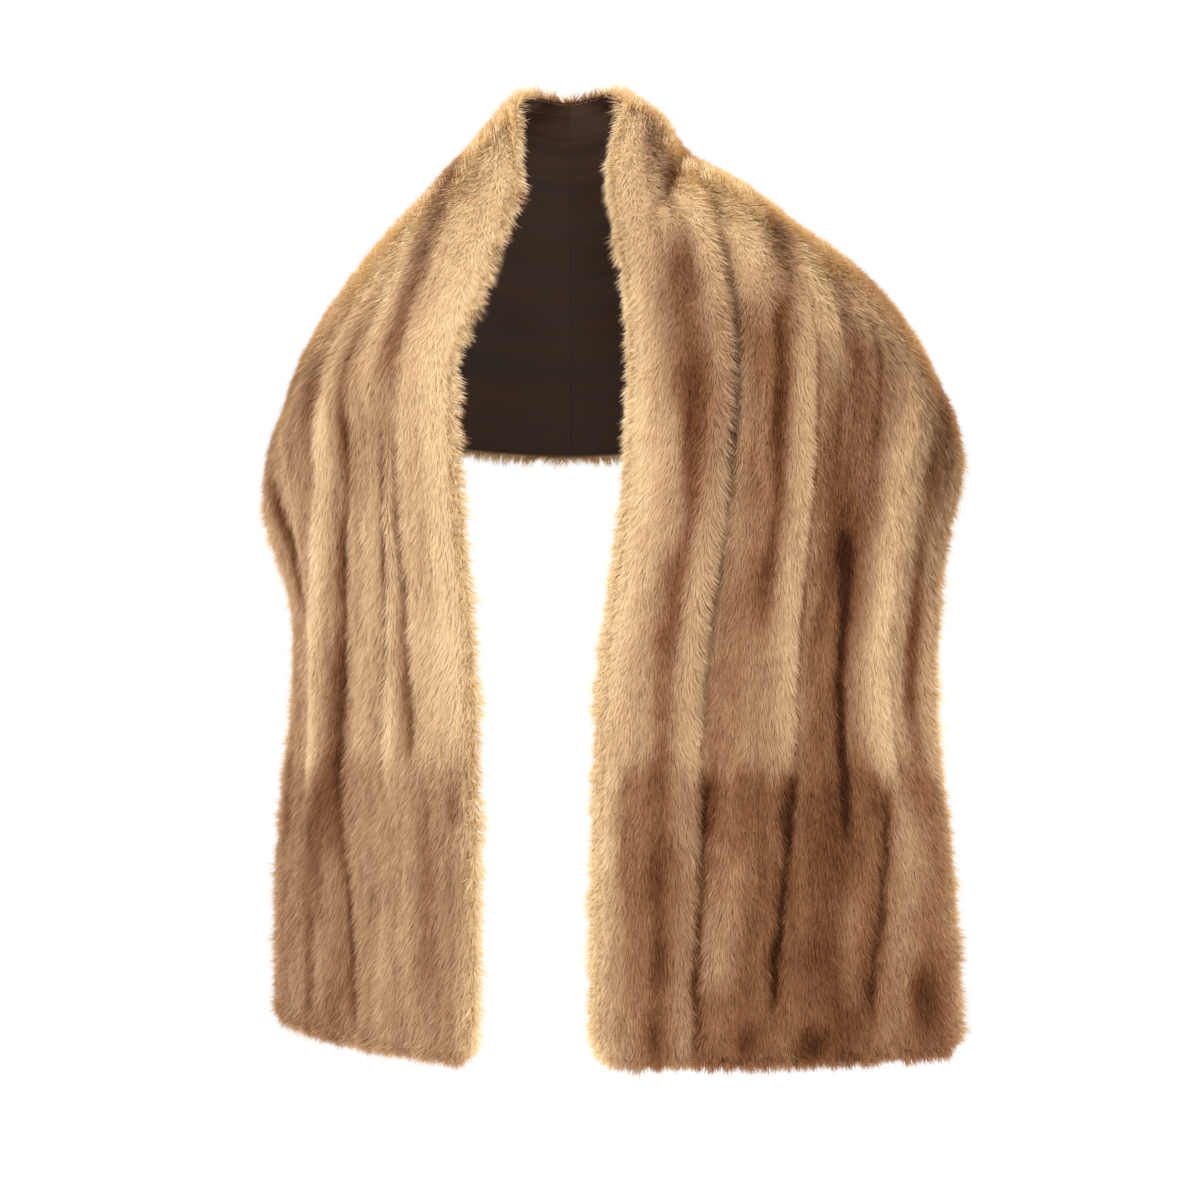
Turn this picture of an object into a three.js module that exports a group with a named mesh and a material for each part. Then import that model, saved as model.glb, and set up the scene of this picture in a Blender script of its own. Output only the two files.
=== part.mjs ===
// Evening stole in let-out mink, worn: laid round the neck and over both shoulders, ends hanging in front.
// Millimetres, +Z up, the front faces -Y, +X is the viewer's right.
// The origin is the point on the lining where the stole rests on the nape.

import * as THREE from 'three';

// Cut of the flat stole
const WIDTH = 400;
const ROW_BREAKS = [0, 0.27, 0.53, 0.78, 1]; // the seams between the four rows, as shares of the width
const HEM_LEFT = -1070; // the hems, by length from the centre back
const HEM_RIGHT = 1070;
const END_DEPTH = 283; // the darker end skins, up from each hem

// Make-up of the wall, from the wearer outwards
const LINING_THICK = 1;
const SEAM_GAP = 0.3;
const FUR_THICK = 11; // skin and the dense part of the pile
const EDGE_ROUND = 16; // how far in from a free edge the pile rounds over
const EDGE_THIN = 0.3; // what is left of the pile at the very edge
const EDGE_LINES = [0.2, 0.5]; // where the mesh gets extra lines there, as shares of EDGE_ROUND

// Mesh fineness: cells round each half of the neck, down the rest of a row, along an end skin and across any of them
const NECK_REACH = 200; // how far from the centre back the stole bends round the neck
const NECK_CELLS = 10;
const BODY_CELLS = 12;
const END_CELLS = 6;
const ACROSS_CELLS = 3;

// Where the lining rests on the nape: share of the width down from the neck edge, at the centre back
const NAPE_SHARE = 0.2;

// Finishes
const BLOND = { color: 0xd9b98a, roughness: 0.85, metalness: 0 };
const BROWN = { color: 0xa8805c, roughness: 0.85, metalness: 0 };
const SATIN = { color: 0x5a3c28, roughness: 0.4, metalness: 0 };

// Sections across the stole, from the neck edge to the outer edge, seen from the neck's axis at shoulder height.
// Each is a Bezier curve: it leaves the neck edge towards roll and reaches the outer edge from fall.
// along is the length from the centre back, left sections negative.
const SECTIONS = [
  { along: -1070, neck: [-86, -150, -850], roll: [-150, -95, -852], fall: [-275, 30, -850], edge: [-304, 142, -842] },
  { along: -890, neck: [-84, -150, -664], roll: [-150, -105, -667], fall: [-278, 20, -672], edge: [-302, 146, -668] },
  { along: -690, neck: [-88, -147, -462], roll: [-160, -110, -466], fall: [-280, 10, -480], edge: [-284, 150, -500] },
  { along: -475, neck: [-105, -138, -248], roll: [-180, -120, -240], fall: [-300, -40, -288], edge: [-286, 126, -392] },
  { along: -385, neck: [-107, -116, -164], roll: [-185, -130, -130], fall: [-306, -66, -212], edge: [-308, 98, -318] },
  { along: -320, neck: [-86, -97, -108], roll: [-160, -120, -65], fall: [-290, -45, -130], edge: [-302, 106, -274] },
  { along: -255, neck: [-66, -73, -46], roll: [-140, -85, -5], fall: [-262, 0, -62], edge: [-264, 132, -247] },
  { along: -195, neck: [-48, -50, 5], roll: [-125, -45, 40], fall: [-224, 60, -18], edge: [-218, 150, -240] },
  { along: -135, neck: [-50, -25, 56], roll: [-105, -5, 80], fall: [-182, 112, -10], edge: [-165, 162, -245] },
  { along: -70, neck: [-46, 17, 108], roll: [-80, 48, 86], fall: [-115, 152, -40], edge: [-95, 170, -254] },
  { along: 0, neck: [0, 50, 112], roll: [0, 66, 52], fall: [0, 160, -60], edge: [0, 172, -258] },
  { along: 70, neck: [44, 28, 115], roll: [74, 56, 92], fall: [118, 150, -40], edge: [106, 166, -252] },
  { along: 130, neck: [50, -4, 92], roll: [100, 20, 104], fall: [186, 118, -8], edge: [196, 150, -235] },
  { along: 190, neck: [39, -38, 24], roll: [112, -22, 80], fall: [226, 76, 36], edge: [264, 120, -218] },
  { along: 250, neck: [46, -75, -46], roll: [128, -78, 42], fall: [286, 20, 10], edge: [320, 86, -210] },
  { along: 310, neck: [55, -101, -98], roll: [142, -122, -12], fall: [338, -40, -25], edge: [366, 38, -232] },
  { along: 370, neck: [58, -122, -165], roll: [152, -162, -100], fall: [370, -100, -80], edge: [386, -14, -268] },
  { along: 475, neck: [54, -141, -268], roll: [160, -180, -245], fall: [344, -160, -235], edge: [368, -60, -355] },
  { along: 690, neck: [28, -147, -474], roll: [150, -165, -470], fall: [296, -150, -470], edge: [358, -92, -502] },
  { along: 885, neck: [22, -150, -670], roll: [140, -165, -670], fall: [290, -140, -666], edge: [376, -98, -674] },
  { along: 1070, neck: [19, -152, -850], roll: [140, -160, -852], fall: [284, -130, -852], edge: [386, -102, -846] },
];

// Soft troughs (depth below 0) and ridges (above 0) that run lengthwise.
// start and end are lengths from the centre back, share is where the fold lies across the width at each of them,
// wide is its half width as a share of the width.
const FOLDS = [
  { start: -1070, end: -330, shareAtStart: 0.5, shareAtEnd: 0.52, wide: 0.09, depth: -9 },
  { start: -1070, end: -260, shareAtStart: 0.76, shareAtEnd: 0.8, wide: 0.07, depth: -7 },
  { start: -1070, end: -420, shareAtStart: 0.27, shareAtEnd: 0.3, wide: 0.07, depth: -4 },
  { start: 160, end: 1070, shareAtStart: 0.31, shareAtEnd: 0.27, wide: 0.05, depth: -7 },
  { start: 130, end: 820, shareAtStart: 0.2, shareAtEnd: 0.17, wide: 0.1, depth: 7 },
  { start: 150, end: 180, shareAtStart: 0.34, shareAtEnd: 0.34, wide: 0.08, depth: -16 },
  { start: 250, end: 1070, shareAtStart: 0.56, shareAtEnd: 0.53, wide: 0.06, depth: -6 },
  { start: 420, end: 1070, shareAtStart: 0.68, shareAtEnd: 0.66, wide: 0.06, depth: -6 },
  { start: 330, end: 1070, shareAtStart: 0.84, shareAtEnd: 0.8, wide: 0.06, depth: -7 },
  { start: -140, end: 160, shareAtStart: 0.5, shareAtEnd: 0.5, wide: 0.12, depth: -5 },
];
const FOLD_FADE = 110; // length over which a fold dies out

// Value and slope-matched blend of a table column at any length: a cubic through the rows, by unequal steps
function through(rows, column, along) {
  const last = rows.length - 1;
  let k = 0;
  while (k < last - 1 && along > rows[k + 1].along) {
    k += 1;
  }
  const slope = (i, axis) => {
    const rise = (a, b) => (rows[b][column][axis] - rows[a][column][axis]) / (rows[b].along - rows[a].along);
    if (i === 0) {
      return rise(0, 1);
    }
    if (i === last) {
      return rise(last - 1, last);
    }
    const before = rows[i].along - rows[i - 1].along;
    const after = rows[i + 1].along - rows[i].along;
    return (rise(i - 1, i) * after + rise(i, i + 1) * before) / (before + after);
  };
  const step = rows[k + 1].along - rows[k].along;
  const t = (along - rows[k].along) / step;
  const mixed = [0, 1, 2].map((axis) => {
    const from = rows[k][column][axis];
    const to = rows[k + 1][column][axis];
    return (
      (2 * t ** 3 - 3 * t ** 2 + 1) * from +
      (t ** 3 - 2 * t ** 2 + t) * step * slope(k, axis) +
      (3 * t ** 2 - 2 * t ** 3) * to +
      (t ** 3 - t ** 2) * step * slope(k + 1, axis)
    );
  });
  return new THREE.Vector3(...mixed);
}

// The smooth form before its folds, at a length and a share of the width
function form(along, share) {
  const corners = ['neck', 'roll', 'fall', 'edge'].map((column) => through(SECTIONS, column, along));
  const rest = 1 - share;
  const weights = [rest ** 3, 3 * rest ** 2 * share, 3 * rest * share ** 2, share ** 3];
  const point = new THREE.Vector3();
  corners.forEach((corner, i) => point.addScaledVector(corner, weights[i]));
  return point;
}

// Unit directions at a point of the smooth form: along the length, across the width, and outwards
function directions(along, share) {
  const stepLong = 2;
  const stepWide = 0.004;
  const length = form(along + stepLong, share).sub(form(along - stepLong, share)).normalize();
  const across = form(along, share + stepWide).sub(form(along, share - stepWide)).normalize();
  return { length, across, out: length.clone().cross(across).normalize() };
}

// How far the folds push the wall out at a point
function foldRise(along, share) {
  let rise = 0;
  for (const fold of FOLDS) {
    const inside = Math.min(along - fold.start, fold.end - along);
    if (inside > -FOLD_FADE) {
      const run = THREE.MathUtils.clamp((along - fold.start) / (fold.end - fold.start), 0, 1);
      const centre = THREE.MathUtils.lerp(fold.shareAtStart, fold.shareAtEnd, run);
      const fade = THREE.MathUtils.smoothstep(inside, -FOLD_FADE, FOLD_FADE);
      rise += fold.depth * fade * Math.exp(-(((share - centre) / fold.wide) ** 2));
    }
  }
  return rise;
}

// A point of the wall, off millimetres out from the lining's inner face. A line on a seam is moved off it by its
// nudge, so that the two sides of the seam stay parallel.
function wall(long, wide, off) {
  const { length, across, out } = directions(long.along, wide.share);
  return form(long.along, wide.share)
    .addScaledVector(out, foldRise(long.along, wide.share) + off)
    .addScaledVector(length, long.nudge)
    .addScaledVector(across, wide.nudge);
}

// A closed wall over lengthwise and crosswise lines, from the inner to the outer offset. Opposite sides are split
// along the same diagonal, so that neighbouring panels stay parallel at a seam.
function panel(longs, wides, inner, outer) {
  const positions = [];
  const indices = [];
  const rows = longs.length;
  const columns = wides.length;
  for (const offset of [inner, outer]) {
    for (const long of longs) {
      for (const wide of wides) {
        positions.push(...wall(long, wide, offset(long.along, wide.share)).toArray());
      }
    }
  }
  const at = (side, i, j) => (side * rows + i) * columns + j;
  const quad = (a, b, c, d) => indices.push(a, b, c, a, c, d);
  for (let i = 0; i < rows - 1; i += 1) {
    for (let j = 0; j < columns - 1; j += 1) {
      quad(at(1, i, j), at(1, i + 1, j), at(1, i + 1, j + 1), at(1, i, j + 1));
      quad(at(0, i, j), at(0, i, j + 1), at(0, i + 1, j + 1), at(0, i + 1, j));
    }
    quad(at(0, i, 0), at(0, i + 1, 0), at(1, i + 1, 0), at(1, i, 0));
    quad(at(1, i + 1, columns - 1), at(0, i + 1, columns - 1), at(0, i, columns - 1), at(1, i, columns - 1));
  }
  for (let j = 0; j < columns - 1; j += 1) {
    quad(at(0, 0, j + 1), at(0, 0, j), at(1, 0, j), at(1, 0, j + 1));
    quad(at(0, rows - 1, j + 1), at(1, rows - 1, j + 1), at(1, rows - 1, j), at(0, rows - 1, j));
  }
  const geometry = new THREE.BufferGeometry();
  geometry.setAttribute('position', new THREE.Float32BufferAttribute(positions, 3));
  geometry.setIndex(indices);
  geometry.computeVertexNormals();
  return geometry;
}

// Even values from one to another, both included
function evenly(from, to, count) {
  return Array.from({ length: count + 1 }, (_, i) => THREE.MathUtils.lerp(from, to, i / count));
}

// Lines at these values. A border on a seam is nudged half the gap inwards, and a free border gets two more lines,
// close to it, where the pile rounds over.
function lines(key, given, seamFirst, seamLast, roundBy) {
  const values = [...given];
  const from = values[0];
  const to = values[values.length - 1];
  const halfGap = SEAM_GAP / 2;
  if (!seamFirst) {
    values.splice(1, 0, ...EDGE_LINES.map((part) => from + roundBy * part));
  }
  if (!seamLast) {
    values.splice(values.length - 1, 0, ...EDGE_LINES.map((part) => to - roundBy * part).reverse());
  }
  return values.map((value, i) => {
    const first = i === 0 && seamFirst ? halfGap : 0;
    const last = i === values.length - 1 && seamLast ? -halfGap : 0;
    return { [key]: value, nudge: first + last };
  });
}

// The pile's reach: full in the middle of the stole, rounded over towards every free edge
function pile(along, share) {
  const toEdge = Math.min(share * WIDTH, (1 - share) * WIDTH, along - HEM_LEFT, HEM_RIGHT - along);
  const run = THREE.MathUtils.clamp(toEdge / EDGE_ROUND, 0, 1);
  return FUR_THICK * (EDGE_THIN + (1 - EDGE_THIN) * Math.sqrt(1 - (1 - run) ** 2));
}

const LINING = { finish: SATIN, inner: () => 0, outer: () => LINING_THICK };
const FUR_START = LINING_THICK + SEAM_GAP;
const FUR = { inner: () => FUR_START, outer: (along, share) => FUR_START + pile(along, share) };
const BLOND_FUR = { ...FUR, finish: BLOND };
const BROWN_FUR = { ...FUR, finish: BROWN };

// One stretch of the stole's length, with the borders that are seams
const END_LEFT = evenly(HEM_LEFT, HEM_LEFT + END_DEPTH, END_CELLS);
const BODY_LEFT = evenly(HEM_LEFT + END_DEPTH, -NECK_REACH, BODY_CELLS);
const NECK_LEFT = evenly(-NECK_REACH, 0, NECK_CELLS);
const NECK_RIGHT = evenly(0, NECK_REACH, NECK_CELLS);
const BODY_RIGHT = evenly(NECK_REACH, HEM_RIGHT - END_DEPTH, BODY_CELLS);
const END_RIGHT = evenly(HEM_RIGHT - END_DEPTH, HEM_RIGHT, END_CELLS);
const LENGTHS = {
  endLeft: lines('along', END_LEFT, false, true, EDGE_ROUND),
  rowLeft: lines('along', [...BODY_LEFT, ...NECK_LEFT.slice(1)], true, true, EDGE_ROUND),
  rowRight: lines('along', [...NECK_RIGHT, ...BODY_RIGHT.slice(1)], true, true, EDGE_ROUND),
  endRight: lines('along', END_RIGHT, true, false, EDGE_ROUND),
};
const lastRow = ROW_BREAKS.length - 2;
const WIDTHS = ROW_BREAKS.slice(0, -1).map((from, row) => {
  const shares = evenly(from, ROW_BREAKS[row + 1], ACROSS_CELLS);
  return lines('share', shares, row > 0, row < lastRow, EDGE_ROUND / WIDTH);
});

// Neighbouring stretches as one, without the nudges at the seam between them
function joined(stretches) {
  return stretches.flatMap((stretch, k) => {
    const kept = k === 0 ? stretch : stretch.slice(1);
    return kept.map((line, i) => (i === kept.length - 1 && k < stretches.length - 1 ? { ...line, nudge: 0 } : line));
  });
}

const garment = new THREE.Group();
garment.position.copy(form(0, NAPE_SHARE)).negate();

function addPanel(name, layer, longs, wides) {
  const material = new THREE.MeshStandardMaterial(layer.finish);
  const mesh = new THREE.Mesh(panel(longs, wides, layer.inner, layer.outer), material);
  mesh.name = name;
  garment.add(mesh);
}

WIDTHS.forEach((wides, row) => {
  addPanel(`row_left_${row + 1}`, BLOND_FUR, LENGTHS.rowLeft, wides);
  addPanel(`row_right_${row + 1}`, BLOND_FUR, LENGTHS.rowRight, wides);
  addPanel(`end_left_${row + 1}`, BROWN_FUR, LENGTHS.endLeft, wides);
  addPanel(`end_right_${row + 1}`, BROWN_FUR, LENGTHS.endRight, wides);
});
addPanel('lining_left', LINING, joined([LENGTHS.endLeft, LENGTHS.rowLeft]), joined(WIDTHS));
addPanel('lining_right', LINING, joined([LENGTHS.rowRight, LENGTHS.endRight]), joined(WIDTHS));

export default garment;
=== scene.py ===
"""Evening stole in let-out mink, worn: laid round the neck and over both shoulders, ends hanging in front.

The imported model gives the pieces. This script dresses them: skins of blond and brown mink with their pile,
two halves of a satin lining, and a plain studio. The cut's lengths are millimetres, measured in a frame whose
origin lies on the neck's axis at shoulder height. MM turns them into metres.
"""

import logging
import math
from collections.abc import Callable
from dataclasses import dataclass, replace
from enum import Enum

import bmesh
import bpy
import numpy as np
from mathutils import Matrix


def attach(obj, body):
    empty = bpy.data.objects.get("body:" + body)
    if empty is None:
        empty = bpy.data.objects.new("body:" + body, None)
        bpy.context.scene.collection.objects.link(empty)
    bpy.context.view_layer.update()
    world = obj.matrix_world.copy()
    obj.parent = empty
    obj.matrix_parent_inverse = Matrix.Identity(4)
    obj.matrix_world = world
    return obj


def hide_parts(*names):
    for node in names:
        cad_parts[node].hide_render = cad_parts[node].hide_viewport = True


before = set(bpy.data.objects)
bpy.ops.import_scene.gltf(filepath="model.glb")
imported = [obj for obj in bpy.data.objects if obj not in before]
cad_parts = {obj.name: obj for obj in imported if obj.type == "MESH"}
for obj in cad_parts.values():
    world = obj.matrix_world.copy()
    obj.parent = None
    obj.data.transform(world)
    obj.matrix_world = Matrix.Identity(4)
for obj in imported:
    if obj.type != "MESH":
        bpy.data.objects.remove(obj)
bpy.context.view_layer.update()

MM = 0.001
# Below this a length counts as nothing
TINY = 1e-9
# The angle from which an edge is creased
SHARP = math.radians(50)
# How many cells seeded noise has before it repeats, and where a noise texture's values mostly lie
NOISE_CELLS = 256
NOISE_RANGE = (0.3, 0.7)
Range = tuple[float, float]
Colour = tuple[float, float, float]
Named = dict[str, tuple[str, np.ndarray]]
Placing = Callable[[np.ndarray, np.ndarray], np.ndarray]
log = logging.getLogger("stole")


class Side(Enum):
    """The two halves of the stole, as the viewer of the front sees them."""

    LEFT = "left"
    RIGHT = "right"

    @property
    def sign(self) -> int:
        """Which way lengths from the centre back run on this side."""
        return -1 if self is Side.LEFT else 1


class Stretch(Enum):
    """A skin is part of a long row or closes a row at the hem."""

    ROW = "row"
    END = "end"


@dataclass(frozen=True)
class Cut:
    """Sizes of the flat stole, in millimetres."""

    width: float = 400.0
    half_length: float = 1070.0
    end_depth: float = 283.0
    row_breaks: tuple[float, ...] = (0.0, 0.27, 0.53, 0.78, 1.0)
    lining_thick: float = 1.0
    nape_share: float = 0.2


CUT = Cut()


@dataclass(frozen=True)
class Section:
    """One section across the worn stole: a Bezier curve from the neck edge to the outer edge."""

    along: float
    neck: tuple[float, float, float]
    roll: tuple[float, float, float]
    fall: tuple[float, float, float]
    edge: tuple[float, float, float]


SECTIONS = (
    Section(-1070, (-86, -150, -850), (-150, -95, -852), (-275, 30, -850), (-304, 142, -842)),
    Section(-890, (-84, -150, -664), (-150, -105, -667), (-278, 20, -672), (-302, 146, -668)),
    Section(-690, (-88, -147, -462), (-160, -110, -466), (-280, 10, -480), (-284, 150, -500)),
    Section(-475, (-105, -138, -248), (-180, -120, -240), (-300, -40, -288), (-286, 126, -392)),
    Section(-385, (-107, -116, -164), (-185, -130, -130), (-306, -66, -212), (-308, 98, -318)),
    Section(-320, (-86, -97, -108), (-160, -120, -65), (-290, -45, -130), (-302, 106, -274)),
    Section(-255, (-66, -73, -46), (-140, -85, -5), (-262, 0, -62), (-264, 132, -247)),
    Section(-195, (-48, -50, 5), (-125, -45, 40), (-224, 60, -18), (-218, 150, -240)),
    Section(-135, (-50, -25, 56), (-105, -5, 80), (-182, 112, -10), (-165, 162, -245)),
    Section(-70, (-46, 17, 108), (-80, 48, 86), (-115, 152, -40), (-95, 170, -254)),
    Section(0, (0, 50, 112), (0, 66, 52), (0, 160, -60), (0, 172, -258)),
    Section(70, (44, 28, 115), (74, 56, 92), (118, 150, -40), (106, 166, -252)),
    Section(130, (50, -4, 92), (100, 20, 104), (186, 118, -8), (196, 150, -235)),
    Section(190, (39, -38, 24), (112, -22, 80), (226, 76, 36), (264, 120, -218)),
    Section(250, (46, -75, -46), (128, -78, 42), (286, 20, 10), (320, 86, -210)),
    Section(310, (55, -101, -98), (142, -122, -12), (338, -40, -25), (366, 38, -232)),
    Section(370, (58, -122, -165), (152, -162, -100), (370, -100, -80), (386, -14, -268)),
    Section(475, (54, -141, -268), (160, -180, -245), (344, -160, -235), (368, -60, -355)),
    Section(690, (28, -147, -474), (150, -165, -470), (296, -150, -470), (358, -92, -502)),
    Section(885, (22, -150, -670), (140, -165, -670), (290, -140, -666), (376, -98, -674)),
    Section(1070, (19, -152, -850), (140, -160, -852), (284, -130, -852), (386, -102, -846)),
)


@dataclass(frozen=True)
class Streak:
    """A soft band that runs lengthwise over the cut.

    Its amount is millimetres outwards for a fold, tone for a stripe, and else what its table says. It lies
    at share_from of the width where it starts and at share_to where it ends. Its half width is wide, a share
    of the width too, and it fades in and out over fade millimetres.
    """

    start: float
    end: float
    share_from: float
    share_to: float
    wide: float
    amount: float
    fade: float = 110.0


def bands(*rows: tuple[float, ...]) -> tuple[Streak, ...]:
    """Returns the rows of a table, whose columns are a streak's fields in order, as streaks."""
    return tuple(Streak(*row) for row in rows)


FOLDS = bands(
    (-1070, -330, 0.5, 0.52, 0.09, -9),
    (-1070, -260, 0.76, 0.8, 0.07, -7),
    (-1070, -420, 0.27, 0.3, 0.07, -4),
    (160, 1070, 0.31, 0.27, 0.05, -7),
    (130, 820, 0.2, 0.17, 0.1, 7),
    (150, 180, 0.34, 0.34, 0.08, -16),
    (250, 1070, 0.56, 0.53, 0.06, -6),
    (420, 1070, 0.68, 0.66, 0.06, -6),
    (330, 1070, 0.84, 0.8, 0.06, -7),
    (-140, 160, 0.5, 0.5, 0.12, -5),
    # The fold that laps over the first seam on the right, and the crease above its plump upper end
    (242, 700, 0.25, 0.232, 0.028, 7, 14),
    (238, 740, 0.292, 0.268, 0.016, -8, 14),
    (172, 245, 0.32, 0.18, 0.03, -13, 18),
    # Shallow valleys of the right end
    (790, 1050, 0.285, 0.275, 0.02, -5, 30),
    (795, 1010, 0.515, 0.468, 0.024, -7, 30),
    (800, 1020, 0.788, 0.725, 0.022, -6, 30),
    (855, 985, 0.372, 0.33, 0.04, 6, 20),
    # The left front: the ridge before the outer skins, the valley inside it and the lapped seam
    (-600, -400, 0.655, 0.52, 0.028, 6, 30),
    (-800, -600, 0.715, 0.655, 0.028, 6, 30),
    (-590, -430, 0.55, 0.425, 0.026, -7, 30),
    (-790, -590, 0.595, 0.55, 0.026, -7, 30),
    (-1060, -790, 0.525, 0.595, 0.024, -5, 30),
    (-780, -440, 0.36, 0.272, 0.015, 6, 40),
    (-770, -440, 0.285, 0.262, 0.026, -6, 60),
)

# The lining bridges narrow folds: it takes their valleys widened and leaves out their ridges
SOFT_FOLD = 0.05
LINING_FOLDS = tuple(
    replace(s, wide=max(s.wide, SOFT_FOLD)) for s in FOLDS if s.amount < 0 or s.wide >= SOFT_FOLD
)

# How far the hairs lean across, as the sine of the angle: over the lapped seam and the pale ridge beside it
LEANS = bands(
    (235, 760, 0.262, 0.246, 0.014, 0.25, 20),
    (380, 760, 0.45, 0.51, 0.014, 0.3, 30),
)

# Over the bend of each shoulder the pile opens: some hairs turn back, as a share of them
RUFFLES = bands(
    (66, 390, 0.0, 1.0, 0.1, 0.25, 40),
    (-394, -58, 1.0, 0.0, 0.1, 0.25, 40),
)

# And their tips draw together in tufts, as a share of the way to each tuft's middle
TUFTED = bands(
    (66, 390, 0.0, 1.0, 0.09, 0.32, 40),
    (-394, -58, 1.0, 0.0, 0.09, 0.32, 40),
)

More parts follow.
